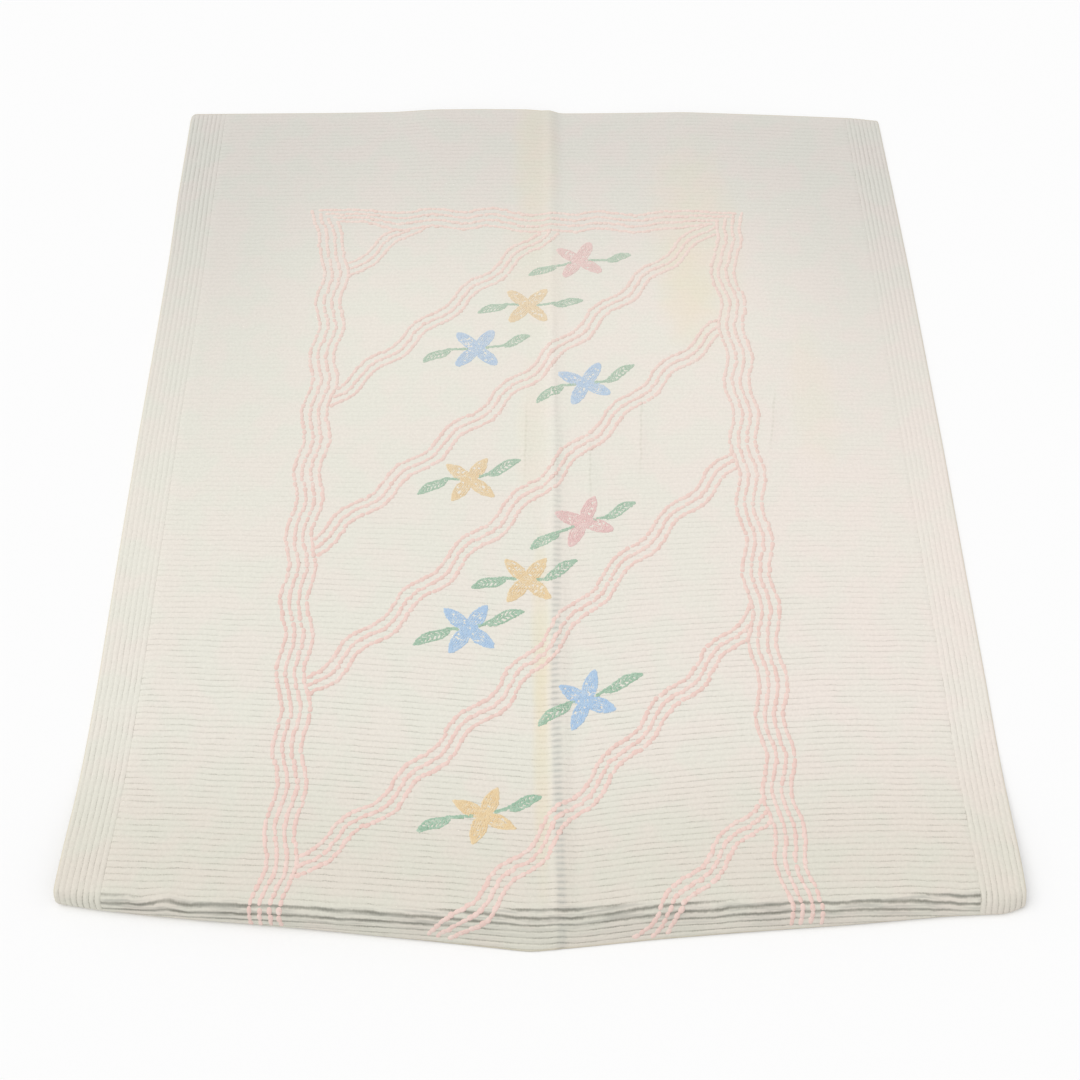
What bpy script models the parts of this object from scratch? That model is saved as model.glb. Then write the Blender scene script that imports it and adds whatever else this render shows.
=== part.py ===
"""Tufted cotton coverlet, laid flat, with a low fold pushed up along its near end.

One sheet of cloth with its hem. Pile ribs run across the middle field and lengthwise in both side
borders. Metres, +X to the right, +Y away from the viewer, +Z up, underside on z = 0.
"""
import math

import bmesh
import bpy
import numpy as np
from mathutils import Vector


def table(names, rows):
    """A short table with named columns, kept as one tuple for each column."""
    return dict(zip(names.split(), zip(*rows)))


# Whole cloth as it lies
HALF_WIDTH = 1.100
SIDE_LENGTH = 2.592
FAR_CORNERS_Y = 1.276

# Cloth and its pile ribs
CLOTH = 0.003
RIB_RISE = 0.004
FIELD_RIB_PITCH = 0.0154
BORDER_RIB_PITCH = 0.0136
BORDER_RIBS = 8
BORDER_WIDTH = BORDER_RIBS * BORDER_RIB_PITCH
SEAM_STEP = 0.003

# Soft crease down the middle, where the cloth was folded in half
CREASE_X = 0.037
CREASE_LEFT_FOOT = 0.029
CREASE_RIGHT_FOOT = 0.031

# Fold along the near end: it climbs over this length, and the power sets how late it rises
CLIMB = 0.460
CLIMB_POWER = 1.5

# Lift of the far edge fades out over this length
FAR_LIFT_FADE = 0.420

# The ribs start to bow towards the near end here, and are fully bowed here, from the far edge
BOW_START = 0.900
BOW_FULL = 2.300

# Columns down the field, from left to right, where the folds and the outline turn
FIELD_COLUMNS = (-0.660, -0.330, -0.031, 0.008, 0.037, 0.068, 0.251, 0.530)

# Far edge across the width: how far it runs past the line of its corners, and how high it lifts
FAR_EDGE = table("across past lift", (
    (-1.100, 0.000, 0.000),
    (-0.660, 0.007, 0.004),
    (-0.460, 0.011, 0.007),
    (-0.330, 0.014, 0.017),
    (-0.180, 0.017, 0.018),
    (-0.031, 0.018, 0.018),
    (0.022, 0.018, 0.012),
    (0.068, 0.018, 0.002),
    (0.242, 0.019, 0.005),
    (0.473, 0.018, 0.013),
    (0.760, 0.014, 0.008),
    (1.012, 0.007, 0.005),
    (1.100, 0.000, 0.000),
))

# Near end across the width. past: the hem past the line of the near corners. run: from the fold's top
# down to the hem. height: of the fold's top. spread: how much its foot flares. bow: of the ribs
NEAR_END = table("across past run height spread bow", (
    (-1.100, -0.020, 0.020, 0.038, 0.10, 0.000),
    (-1.012, -0.006, 0.020, 0.039, 0.10, 0.000),
    (-0.860, 0.011, 0.024, 0.041, 0.15, 0.006),
    (-0.540, 0.038, 0.030, 0.047, 0.30, 0.026),
    (-0.260, 0.068, 0.048, 0.054, 0.70, 0.055),
    (-0.031, 0.094, 0.076, 0.058, 0.95, 0.079),
    (0.073, 0.084, 0.070, 0.056, 0.90, 0.076),
    (0.251, 0.066, 0.064, 0.052, 0.85, 0.052),
    (0.431, 0.051, 0.054, 0.046, 0.70, 0.033),
    (0.702, 0.031, 0.042, 0.038, 0.50, 0.014),
    (0.920, 0.012, 0.038, 0.033, 0.40, 0.007),
    (1.060, 0.006, 0.036, 0.031, 0.35, 0.007),
    (1.100, -0.012, 0.034, 0.030, 0.30, 0.007),
))

# Side edges down the length, from the far corners: how far each lies inside the half width
SIDE_EDGES = table("down left right", (
    (0.000, -0.011, 0.001),
    (0.380, -0.007, -0.004),
    (0.630, 0.000, -0.006),
    (0.880, 0.002, -0.006),
    (1.300, 0.003, -0.005),
    (1.670, 0.007, -0.001),
    (2.020, 0.012, 0.002),
    (2.330, 0.012, 0.004),
    (2.500, 0.011, 0.005),
    (2.592, 0.011, 0.007),
))

# Height of the middle crease down the length, from the far edge
CREASE = table("down height", (
    (0.000, 0.006),
    (0.150, 0.010),
    (0.350, 0.010),
    (0.600, 0.008),
    (0.900, 0.006),
    (1.500, 0.006),
    (2.000, 0.008),
    (2.400, 0.009),
    (2.700, 0.006),
))

# Rows that the underside and the borders keep: every row near the fold's top, fewer elsewhere
ROWS_AT_FRONT = 14
ROWS_ON_CLIMB = 64
CLIMB_STRIDE = 8
ROWS_AT_FAR_END = 60
FAR_STRIDE = 12
FLAT_STRIDE = 48

# Fineness of the lengthwise sections, and the short steps that slopes are taken over
SECTION_STEPS = 1200
FRONT_STEPS = 120
BLEND_REACH = 0.020
SIDE_STEP = 0.002
LENGTH_STEP = 0.001

COVERLET_COLOUR = (0.80, 0.77, 0.69, 1.0)


def read_across(rows, column, across):
    """One value of a table across the width, with the runs between its rows blended a little."""
    spots = np.linspace(across - BLEND_REACH, across + BLEND_REACH, 5)
    return float(np.mean(np.interp(spots, rows["across"], rows[column])))


def ease(value):
    """Goes from 0 to 1 with level ends."""
    value = np.clip(value, 0.0, 1.0)
    return value * value * (3.0 - 2.0 * value)


def crease_share(across):
    """Share of the crease's height at a place across the width."""
    foot = CREASE_LEFT_FOOT if across < CREASE_X else CREASE_RIGHT_FOOT
    return max(0.0, 1.0 - abs(across - CREASE_X) / foot)


def section(across):
    """The underside's lengthwise section: rib coordinate, y and z, from the far edge to the hem."""
    far_y = FAR_CORNERS_Y + read_across(FAR_EDGE, "past", across)
    lift = read_across(FAR_EDGE, "lift", across)
    hem_y = FAR_CORNERS_Y - SIDE_LENGTH - read_across(NEAR_END, "past", across)
    run = read_across(NEAR_END, "run", across)
    height = read_across(NEAR_END, "height", across)
    spread = read_across(NEAR_END, "spread", across)
    bow = read_across(NEAR_END, "bow", across)
    top_y = hem_y + run

    # From the far edge up to the fold's top
    y_back = np.linspace(far_y, top_y, SECTION_STEPS)
    from_far = far_y - y_back
    climbed = np.clip(1.0 - (y_back - top_y) / CLIMB, 0.0, 1.0)
    crease = crease_share(across) * np.interp(from_far, CREASE["down"], CREASE["height"])
    z_back = height * (1.0 - np.cos(math.pi * climbed ** CLIMB_POWER)) / 2
    z_back += lift * (1.0 - ease(from_far / FAR_LIFT_FADE)) + crease

    # From the fold's top down to the hem: partly a round front, partly a flared one
    turned = np.linspace(0.0, 1.0, FRONT_STEPS)[1:]
    round_y = np.sin(turned * math.pi / 2)
    round_z = np.cos(turned * math.pi / 2)
    flared_z = (1.0 + np.cos(turned * math.pi)) / 2
    y_front = top_y - run * ((1.0 - spread) * round_y + spread * turned)
    z_front = (height + crease[-1]) * ((1.0 - spread) * round_z + spread * flared_z)

    y = np.concatenate((y_back, y_front))
    z = np.concatenate((z_back, z_front))
    length = np.concatenate(([0.0], np.cumsum(np.hypot(np.diff(y), np.diff(z)))))
    rib_coordinate = length - bow * ease((length - BOW_START) / (BOW_FULL - BOW_START))
    return rib_coordinate, y, z


def side_scale(across, y):
    """How much a place across the width moves in or out with its side edge."""
    side = "left" if across < 0 else "right"
    inside = np.interp(FAR_CORNERS_Y - y, SIDE_EDGES["down"], SIDE_EDGES[side])
    return 1.0 - inside / HALF_WIDTH


class Column:
    """A lengthwise line of the cloth. It places a point of the underside or of the pile."""

    def __init__(self, across):
        self.across = across
        self.left = (across - SIDE_STEP, section(across - SIDE_STEP))
        self.middle = (across, section(across))
        self.right = (across + SIDE_STEP, section(across + SIDE_STEP))
        self.hem = self.middle[1][0][-1]

    def place(self, line, rib_coordinate):
        across, (ribs, y, z) = line
        place_y = float(np.interp(rib_coordinate, ribs, y))
        place_z = float(np.interp(rib_coordinate, ribs, z))
        return Vector((across * side_scale(across, place_y), place_y, place_z))

    def over(self, rib_coordinate, thickness):
        before = max(0.0, rib_coordinate - LENGTH_STEP)
        after = min(self.hem, rib_coordinate + LENGTH_STEP)
        back = self.place(self.middle, before) - self.place(self.middle, after)
        sideways = self.place(self.right, rib_coordinate) - self.place(self.left, rib_coordinate)
        outward = sideways.cross(back).normalized()
        return self.place(self.middle, rib_coordinate) + outward * thickness


def all_rows(column):
    """Row numbers down a column: even rows are valleys, odd rows are crowns."""
    return list(range(int(2 * column.hem / FIELD_RIB_PITCH + 0.5)))


def shape_rows(column):
    """The few rows that carry the folds without the ribs."""
    last = all_rows(column)[-1]

    def kept(row):
        if row > last - ROWS_AT_FRONT:
            return True
        if row > last - ROWS_ON_CLIMB:
            return row % CLIMB_STRIDE == 0
        if row < ROWS_AT_FAR_END:
            return row % FAR_STRIDE == 0
        return row % FLAT_STRIDE == 0

    return [row for row in all_rows(column) if kept(row)]


def line_of_points(bm, column, rows, thickness, crown=0.0):
    """Adds one column's points, the hem last, each with its row number. Crowns are on the odd rows."""
    line = []
    for row in rows:
        point = column.over(row * FIELD_RIB_PITCH / 2, thickness + crown * (row % 2))
        line.append((row, bm.verts.new(point)))
    line.append((math.inf, bm.verts.new(column.over(column.hem, thickness))))
    return line


def stitch(bm, one, other):
    """Joins two lines of keyed points with triangles, advancing the line that lags behind."""
    i = 0
    j = 0
    while i + 1 < len(one) or j + 1 < len(other):
        if j + 1 == len(other) or (i + 1 < len(one) and one[i + 1][0] <= other[j + 1][0]):
            bm.faces.new((one[i][1], one[i + 1][1], other[j][1]))
            i += 1
        else:
            bm.faces.new((one[i][1], other[j + 1][1], other[j][1]))
            j += 1


def border_lines(bm, side):
    """The lengthwise ribs of one side border, from the outer edge inwards."""
    lines = []
    for half_rib in range(2 * BORDER_RIBS):
        column = Column(side * (HALF_WIDTH - half_rib * BORDER_RIB_PITCH / 2))
        thickness = CLOTH + RIB_RISE * (half_rib % 2)
        lines.append((column.across, line_of_points(bm, column, shape_rows(column), thickness)))
    return lines


def field_lines(bm):
    """Lines down the field, a crown on every pile rib, and a plain valley along each border."""
    seam = HALF_WIDTH - BORDER_WIDTH
    rib_end = seam - SEAM_STEP
    lines = []
    for across in (-seam, -rib_end, *FIELD_COLUMNS, rib_end, seam):
        column = Column(across)
        crown = 0.0 if abs(across) == seam else RIB_RISE
        lines.append((across, line_of_points(bm, column, all_rows(column), CLOTH, crown)))
    return lines


def under_lines(bm):
    """The smooth underside."""
    lines = []
    for across in (-HALF_WIDTH, *FIELD_COLUMNS, HALF_WIDTH):
        column = Column(across)
        lines.append((across, line_of_points(bm, column, shape_rows(column), 0.0)))
    return lines


def build_coverlet():
    bm = bmesh.new()
    over = border_lines(bm, -1) + field_lines(bm) + border_lines(bm, 1)[::-1]
    under = under_lines(bm)
    for lines in (over, under):
        for (_, one), (_, other) in zip(lines, lines[1:]):
            stitch(bm, one, other)
    for end in (0, -1):
        stitch(bm, over[end][1], under[end][1])
        upper = [(across, line[end][1]) for across, line in over]
        lower = [(across, line[end][1]) for across, line in under]
        stitch(bm, upper, lower)
    bmesh.ops.recalc_face_normals(bm, faces=bm.faces)

    mesh = bpy.data.meshes.new("coverlet")
    bm.to_mesh(mesh)
    bm.free()
    coverlet = bpy.data.objects.new("coverlet", mesh)
    bpy.context.scene.collection.objects.link(coverlet)
    return coverlet


def tufted_cotton():
    material = bpy.data.materials.new("tufted_cotton")
    material.use_nodes = True
    shader = material.node_tree.nodes["Principled BSDF"]
    shader.inputs["Base Color"].default_value = COVERLET_COLOUR
    shader.inputs["Roughness"].default_value = 0.95
    shader.inputs["Metallic"].default_value = 0.0
    return material


def main():
    for old in list(bpy.data.objects):
        bpy.data.objects.remove(old, do_unlink=True)
    coverlet = build_coverlet()
    coverlet.data.materials.append(tufted_cotton())


main()
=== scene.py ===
"""Looks of a tufted cotton coverlet, laid flat, with a low fold pushed up along its near end."""
import math

import bmesh
import bpy
import numpy as np
from mathutils import Matrix, Vector


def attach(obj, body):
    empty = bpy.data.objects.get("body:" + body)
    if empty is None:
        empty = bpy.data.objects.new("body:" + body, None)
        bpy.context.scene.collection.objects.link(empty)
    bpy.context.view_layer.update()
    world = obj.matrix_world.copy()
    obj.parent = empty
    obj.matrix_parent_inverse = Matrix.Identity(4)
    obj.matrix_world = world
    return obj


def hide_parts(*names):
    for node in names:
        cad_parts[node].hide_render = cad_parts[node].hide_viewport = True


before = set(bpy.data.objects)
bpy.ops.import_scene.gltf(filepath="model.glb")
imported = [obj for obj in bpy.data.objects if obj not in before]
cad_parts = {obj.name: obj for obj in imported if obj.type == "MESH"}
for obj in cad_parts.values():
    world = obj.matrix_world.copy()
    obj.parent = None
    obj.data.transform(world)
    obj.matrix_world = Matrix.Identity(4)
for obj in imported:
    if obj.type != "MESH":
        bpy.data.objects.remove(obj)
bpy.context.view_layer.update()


# -------------------------------------------------------------------------------------------------
# Ground cloth and cream pile
#
# One cotton cloth with a narrow turned hem. Cream pile is tufted into it in close rows, across the
# middle field and lengthwise in both side borders. It lies loose, and its near end is pushed up
# into a low fold. Every place on it is given across its width and down its length.

HALF_WIDTH = 1.100
SIDE_LENGTH = 2.592
FAR_CORNERS_Y = 1.276
CLOTH = 0.003
RIB_RISE = 0.004
FIELD_RIB_PITCH = 0.0154
BORDER_RIB_PITCH = 0.0136
BORDER_RIBS = 8
SEAM = HALF_WIDTH - BORDER_RIBS * BORDER_RIB_PITCH

CREASE_X = 0.037
CREASE_LEFT_FOOT = 0.029
CREASE_RIGHT_FOOT = 0.031
CLIMB = 0.460
CLIMB_POWER = 1.5
FAR_LIFT_FADE = 0.420
BOW_START = 0.900
BOW_FULL = 2.300


def table(names, rows):
    """A short table with named columns, kept as one tuple for each column."""
    return dict(zip(names.split(), zip(*rows)))


# Far edge across the width: how far it runs past the line of its corners, and how high it lifts
FAR_EDGE = table("across past lift", (
    (-1.100, 0.000, 0.000),
    (-0.660, 0.007, 0.004),
    (-0.460, 0.011, 0.007),
    (-0.330, 0.014, 0.017),
    (-0.180, 0.017, 0.018),
    (-0.031, 0.018, 0.018),
    (0.022, 0.018, 0.012),
    (0.068, 0.018, 0.002),
    (0.242, 0.019, 0.005),
    (0.473, 0.018, 0.013),
    (0.760, 0.014, 0.008),
    (1.012, 0.007, 0.005),
    (1.100, 0.000, 0.000),
))

# Near end across the width. past: the hem past the line of the near corners. run: from the fold's
# top down to the hem. height: of the fold's top. spread: how much its foot flares. bow: of the ribs
NEAR_END = table("across past run height spread bow", (
    (-1.100, -0.020, 0.020, 0.038, 0.10, 0.000),
    (-1.012, -0.006, 0.020, 0.039, 0.10, 0.000),
    (-0.860, 0.011, 0.024, 0.041, 0.15, 0.006),
    (-0.540, 0.038, 0.030, 0.047, 0.30, 0.026),
    (-0.260, 0.068, 0.048, 0.054, 0.70, 0.055),
    (-0.031, 0.094, 0.076, 0.058, 0.95, 0.079),
    (0.073, 0.084, 0.070, 0.056, 0.90, 0.076),
    (0.251, 0.066, 0.064, 0.052, 0.85, 0.052),
    (0.431, 0.051, 0.054, 0.046, 0.70, 0.033),
    (0.702, 0.031, 0.042, 0.038, 0.50, 0.014),
    (0.920, 0.012, 0.038, 0.033, 0.40, 0.007),
    (1.060, 0.006, 0.036, 0.031, 0.35, 0.007),
    (1.100, -0.012, 0.034, 0.030, 0.30, 0.007),
))

# Side edges down the length, from the far corners: how far each lies inside the half width
SIDE_EDGES = table("down left right", (
    (0.000, -0.011, 0.001),
    (0.380, -0.007, -0.004),
    (0.630, 0.000, -0.006),
    (0.880, 0.002, -0.006),
    (1.300, 0.003, -0.005),
    (1.670, 0.007, -0.001),
    (2.020, 0.012, 0.002),
    (2.330, 0.011, 0.007),
    (2.500, 0.009, 0.011),
    (2.592, 0.007, 0.014),
))

# Height of the middle crease down the length, from the far edge
CREASE = table("down height", (
    (0.000, 0.006),
    (0.150, 0.007),
    (0.350, 0.006),
    (0.600, 0.005),
    (0.900, 0.005),
    (1.500, 0.006),
    (2.000, 0.008),
    (2.400, 0.009),
    (2.700, 0.006),
))

# Faint lengthwise wrinkles, each from one place to another, with its height and half width
WRINKLES = (
    (-0.036, 1.120, -0.047, 1.460, 0.0022, 0.011),
    (0.136, 1.220, 0.129, 1.520, 0.0018, 0.010),
    (0.284, 1.100, 0.265, 1.440, 0.0018, 0.010),
    (0.660, 1.100, 0.622, 1.340, 0.0015, 0.010),
)

# Ripples along the fold's top: where, half width, rise, and how far the ribs there are drawn back
FOLD_RIPPLES = (
    (-0.908, 0.030, -0.0015, -0.0022),
    (-0.846, 0.032, 0.0028, 0.0030),
    (-0.794, 0.028, -0.0015, -0.0022),
    (-0.700, 0.040, 0.0012, 0.0012),
    (-0.450, 0.050, -0.0012, -0.0015),
    (0.300, 0.045, 0.0018, 0.0020),
    (0.390, 0.040, -0.0015, -0.0020),
    (0.560, 0.050, 0.0015, 0.0018),
    (0.660, 0.040, -0.0012, -0.0018),
    (0.860, 0.045, 0.0018, 0.0022),
    (0.950, 0.035, -0.0015, -0.0018),
)
RIPPLE_REACH = 0.055

# The crease is pressed sharper than its soft ridge: a low edge with a shallow dip on its right.
# Both wander a little to the left towards the near end
CREASE_EDGE = ((0.034, 0.0050, 0.0018), (0.047, 0.0070, -0.0014))
CREASE_DIP = 0.047
CREASE_WANDER = table("down aside", (
    (1.350, 0.000), (1.950, -0.017), (2.400, -0.012), (2.700, -0.008),
))

# Rounding of the four corners: far left, far right, near left, near right
CORNER_ROUNDING = (0.020, 0.008, 0.016, 0.010)

BLEND_REACH = 0.020
SECTION_STEPS = 1200
FRONT_STEPS = 120


def read_across(rows, column, across):
    """One value of a table across the width, with the runs between its rows blended a little."""
    spots = np.linspace(across - BLEND_REACH, across + BLEND_REACH, 5)
    return float(np.mean(np.interp(spots, rows["across"], rows[column])))


def ease(value):
    """Goes from 0 to 1 with level ends."""
    value = np.clip(value, 0.0, 1.0)
    return value * value * (3.0 - 2.0 * value)


def section(across):
    """The underside's lengthwise section: rib coordinate, y and z, from the far edge to the hem."""
    far_y = FAR_CORNERS_Y + read_across(FAR_EDGE, "past", across)
    lift = read_across(FAR_EDGE, "lift", across)
    hem_y = FAR_CORNERS_Y - SIDE_LENGTH - read_across(NEAR_END, "past", across)
    run = read_across(NEAR_END, "run", across)
    height = read_across(NEAR_END, "height", across)
    spread = read_across(NEAR_END, "spread", across)
    bow = read_across(NEAR_END, "bow", across)
    top_y = hem_y + run

    # From the far edge up to the fold's top
    y_back = np.linspace(far_y, top_y, SECTION_STEPS)
    from_far = far_y - y_back
    climbed = np.clip(1.0 - (y_back - top_y) / CLIMB, 0.0, 1.0)
    foot = CREASE_LEFT_FOOT if across < CREASE_X else CREASE_RIGHT_FOOT
    crease_share = max(0.0, 1.0 - abs(across - CREASE_X) / foot)
    crease = crease_share * np.interp(from_far, CREASE["down"], CREASE["height"])
    z_back = height * (1.0 - np.cos(math.pi * climbed ** CLIMB_POWER)) / 2
    z_back += lift * (1.0 - ease(from_far / FAR_LIFT_FADE)) + crease

    # From the fold's top down to the hem: partly a round front, partly a flared one
    turned = np.linspace(0.0, 1.0, FRONT_STEPS)[1:]
    round_y = np.sin(turned * math.pi / 2)
    round_z = np.cos(turned * math.pi / 2)
    flared_z = (1.0 + np.cos(turned * math.pi)) / 2
    y_front = top_y - run * ((1.0 - spread) * round_y + spread * turned)
    z_front = (height + crease[-1]) * ((1.0 - spread) * round_z + spread * flared_z)

    y = np.concatenate((y_back, y_front))
    z = np.concatenate((z_back, z_front))
    length = np.concatenate(([0.0], np.cumsum(np.hypot(np.diff(y), np.diff(z)))))
    rib_coordinate = length - bow * ease((length - BOW_START) / (BOW_FULL - BOW_START))
    return rib_coordinate, y, z


# The sections are read once on a close net of places, which the rest of the script looks up
STATIONS = np.linspace(-HALF_WIDTH - 0.005, HALF_WIDTH + 0.005, 443)
SHARES = np.linspace(0.0, 1.0, 1801)
hems, fold_tops, net_y, net_z = [], [], [], []
for station in STATIONS:
    rib_coordinate, section_y, section_z = section(station)
    hems.append(rib_coordinate[-1])
    fold_tops.append(rib_coordinate[SECTION_STEPS - 1])
    net_y.append(np.interp(SHARES * hems[-1], rib_coordinate, section_y))
    net_z.append(np.interp(SHARES * hems[-1], rib_coordinate, section_z))
hems, net_y, net_z = np.array(hems), np.array(net_y), np.array(net_z)


def hem_at(across):
    """How far down the cloth its near hem lies."""
    return np.interp(across, STATIONS, hems)


def round_corners(across, down):
    """Draws the places near the four corners in, so that the corners are round."""
    hem = hem_at(across)
    for right in (False, True):
        for near in (False, True):
            reach = CORNER_ROUNDING[2 * near + right]
            side = 1.0 if right else -1.0
            from_side = HALF_WIDTH - across * side
            from_end = hem - down if near else down
            inside = (from_side < reach) & (from_end < reach)
            u = np.clip(1.0 - from_side / reach, 0.0, 1.0)
            v = np.clip(1.0 - from_end / reach, 0.0, 1.0)
            new_side = reach * (1.0 - u * np.sqrt(1.0 - v * v / 2))
            new_end = reach * (1.0 - v * np.sqrt(1.0 - u * u / 2))
            across = np.where(inside, side * (HALF_WIDTH - new_side), across)
            down = np.where(inside, hem - new_end if near else new_end, down)
    return across, down


def underside(across, down):
    """Points of the laid cloth's underside."""
    across, down = round_corners(np.asarray(across, float), np.asarray(down, float))
    hem = hem_at(across)
    calm = ease(down / 0.06) * ease((hem - down) / 0.06)
    margin = 0.5 + ease((np.abs(across) - 0.55) / 0.3)
    wander = 0.0006 * np.sin(31.0 * across + 2.1 * np.sin(7.0 * down))
    wander += 0.0005 * np.sin(61.0 * across + 1.7 * np.sin(11.0 * down) + 19.0 * down)
    drawn = wander * margin * calm
    rise = np.zeros_like(down)

    near_top = ease(1.0 - np.abs(hem - down - 0.050) / RIPPLE_REACH)
    for spot, reach, up, back in FOLD_RIPPLES:
        share = near_top * np.cos(np.clip((across - spot) / reach, -1.0, 1.0) * math.pi / 2) ** 2
        rise += up * share
        drawn -= back * share
    sharp = ease((down - 0.20) / 0.9) * (0.7 + 0.3 * np.sin(23.0 * down))
    aside = np.interp(down, CREASE_WANDER["down"], CREASE_WANDER["aside"])
    for spot, reach, up in CREASE_EDGE:
        rise += sharp * up * ease(1.0 - np.abs(across - spot - aside) / (2.2 * reach))
    for start, start_down, end, end_down, up, reach in WRINKLES:
        along = np.clip((down - start_down) / (end_down - start_down), 0.0, 1.0)
        off = np.abs(across - start - (end - start) * along)
        rise += up * np.sin(math.pi * along) ** 0.6 * ease(1.0 - off / reach)

    column = np.clip((across - STATIONS[0]) / (STATIONS[1] - STATIONS[0]), 0, len(STATIONS) - 1.001)
    left = column.astype(int)
    right_part = column - left
    place = np.clip((down + drawn) / hem, 0.0, 1.0) * (len(SHARES) - 1.001)
    upper = place.astype(int)
    lower_part = place - upper

    def read(net):
        one = net[left, upper] * (1 - lower_part) + net[left, upper + 1] * lower_part
        other = net[left + 1, upper] * (1 - lower_part) + net[left + 1, upper + 1] * lower_part
        return one * (1 - right_part) + other * right_part

    y = read(net_y)
    z = read(net_z) + rise
    from_corners = FAR_CORNERS_Y - y
    left_inside = np.interp(from_corners, SIDE_EDGES["down"], SIDE_EDGES["left"])
    right_inside = np.interp(from_corners, SIDE_EDGES["down"], SIDE_EDGES["right"])
    x = across * (1.0 - np.where(across < 0, left_inside, right_inside) / HALF_WIDTH)
    return np.stack((x, y, np.maximum(z, 0.0)), axis=1)


def unit(vectors):
    return vectors / np.maximum(np.linalg.norm(vectors, axis=1, keepdims=True), 1e-9)


def outward(across, down):
    """Directions square to the laid cloth, on its pile side."""
    across, down = np.asarray(across, float), np.asarray(down, float)
    hem = hem_at(across)
    sideways = underside(across + 0.002, down) - underside(across - 0.002, down)
    before = underside(across, np.maximum(down - 0.002, 0.0))
    after = underside(across, np.minimum(down + 0.002, hem))
    return unit(np.cross(sideways, before - after))


# Lines of points down the cloth. The mesh is closed from them: pile side, edge and underside
EDGE_TURN = 0.001
HEM_WIDTH = 0.007
MOST_RIBS = 175
FIELD_RIB_STEPS = (0.0, 0.10, 0.30, 0.70, 0.90)
BORDER_RIB_STEPS = (0.0, 0.15, 0.5, 0.85)
FIELD_SPACING = 0.0300
CLOSE_SPACING = 0.0150
CLOSE_FROM, CLOSE_TO = -0.960, -0.760
PLAIN_FROM, PLAIN_TO = -0.970, 0.985
LEAST_GAP = 0.006
CREASE_COLUMNS = [0.008, 0.0140, 0.0205, 0.0270, 0.0325, 0.0380, 0.0440, 0.0510, 0.0580, 0.0680]

cloth_across, cloth_down, cloth_thickness = [], [], []
cloth_values = {name: [] for name in ("rib", "pile", "relief", "edge", "crease", "front")}


def lay_point(across, down, thickness, rib=0.0, pile=0.0, relief=0.0):
    """Adds a point to the cloth and returns its number."""
    hem = float(hem_at(across))
    cloth_across.append(across)
    cloth_down.append(down)
    cloth_thickness.append(thickness)
    edge = min(down, hem - down, HALF_WIDTH - abs(across))
    aside = float(np.interp(down, CREASE_WANDER["down"], CREASE_WANDER["aside"]))
    # The share of the fold's front: full just below its top, and a quarter towards the hem
    below_top = down - float(np.interp(across, STATIONS, fold_tops))
    front = ease((below_top + 0.006) / 0.008) * (1.0 - 0.75 * ease((below_top - 0.020) / 0.030))
    values = (rib, pile, relief, edge, across - CREASE_DIP - aside, float(front))
    for column, value in zip(cloth_values.values(), values):
        column.append(value)
    return len(cloth_across) - 1


def shape_rows(across):
    """The rows that carry the folds without the ribs: close at the near fold, wide elsewhere."""
    hem = float(hem_at(across))
    rows = [0.0, 0.004, 0.009, *np.arange(0.030, hem - 0.460, 0.030)]
    rows += [*np.arange(hem - 0.450, hem - 0.125, 0.013)]
    rows += [*np.arange(hem - 0.120, hem - 0.003, 0.004)]
    return rows


def field_rows(across):
    """Five rows on every pile rib, down to the near hem."""
    hem = float(hem_at(across))
    rows = [(rib + part) * FIELD_RIB_PITCH for rib in range(MOST_RIBS) for part in FIELD_RIB_STEPS]
    return [row for row in rows if row < hem - 0.002]


def pile_line(across, rows, rib_of, pile_of, relief_of):
    """One line on the pile side. The last point, at the hem, comes after every row."""
    hem = float(hem_at(across))
    line = []
    for down in [*rows, hem - EDGE_TURN]:
        down = max(down, EDGE_TURN)
        at_ends = float(ease((hem - down) / HEM_WIDTH) * (0.40 + 0.60 * ease(down / 0.060)))
        number = lay_point(
            across, down, CLOTH, rib_of(across, down), pile_of(across) * at_ends, relief_of(down))
        line.append((down, number))
    line[-1] = (math.inf, line[-1][1])
    return line


def border_rib(across, down):
    return (HALF_WIDTH - abs(across)) / BORDER_RIB_PITCH


def field_rib(across, down):
    return down / FIELD_RIB_PITCH


def border_pile(across):
    return float(ease((HALF_WIDTH - abs(across)) / 0.004))


def field_pile(across):
    return 0.7 + 0.3 * float(ease((SEAM - abs(across)) / 0.004))


# How deep the valleys are between the ribs, as a share of the ribs' rise, down the length
BORDER_RELIEF_ROWS, BORDER_RELIEF = (0.3, 1.2, 1.6, 2.4), (0.58, 0.32, 0.26, 0.34)
FIELD_RELIEF_ROWS, FIELD_RELIEF = (0.3, 0.9, 1.4, 2.4), (0.29, 0.17, 0.16, 0.48)


def border_relief(down):
    """The pile is fluffed up and nearly fills the valleys, most of all halfway down."""
    return float(np.interp(down, BORDER_RELIEF_ROWS, BORDER_RELIEF))


def field_relief(down):
    return float(np.interp(down, FIELD_RELIEF_ROWS, FIELD_RELIEF))


outer = HALF_WIDTH - EDGE_TURN
border_ribs = [rib + part for rib in range(BORDER_RIBS) for part in BORDER_RIB_STEPS][1:]
left_border = [-outer] + [-(HALF_WIDTH - rib * BORDER_RIB_PITCH) for rib in border_ribs]
field = [side * (SEAM - inside) for side in (-1.0, 1.0) for inside in (0.0, 0.0015, 0.0040)]
field += CREASE_COLUMNS
for start, _, end, _, _, reach in WRINKLES:
    middle = (start + end) / 2
    field += [middle - reach, middle, middle + reach]
plain = [*np.arange(PLAIN_FROM, CLOSE_FROM, CLOSE_SPACING)]
plain += np.arange(CLOSE_FROM, CLOSE_TO, CLOSE_SPACING).tolist()
plain += np.arange(CLOSE_TO, PLAIN_TO, FIELD_SPACING).tolist()
field += [spot for spot in plain if min(abs(spot - other) for other in field) > LEAST_GAP]

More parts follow.
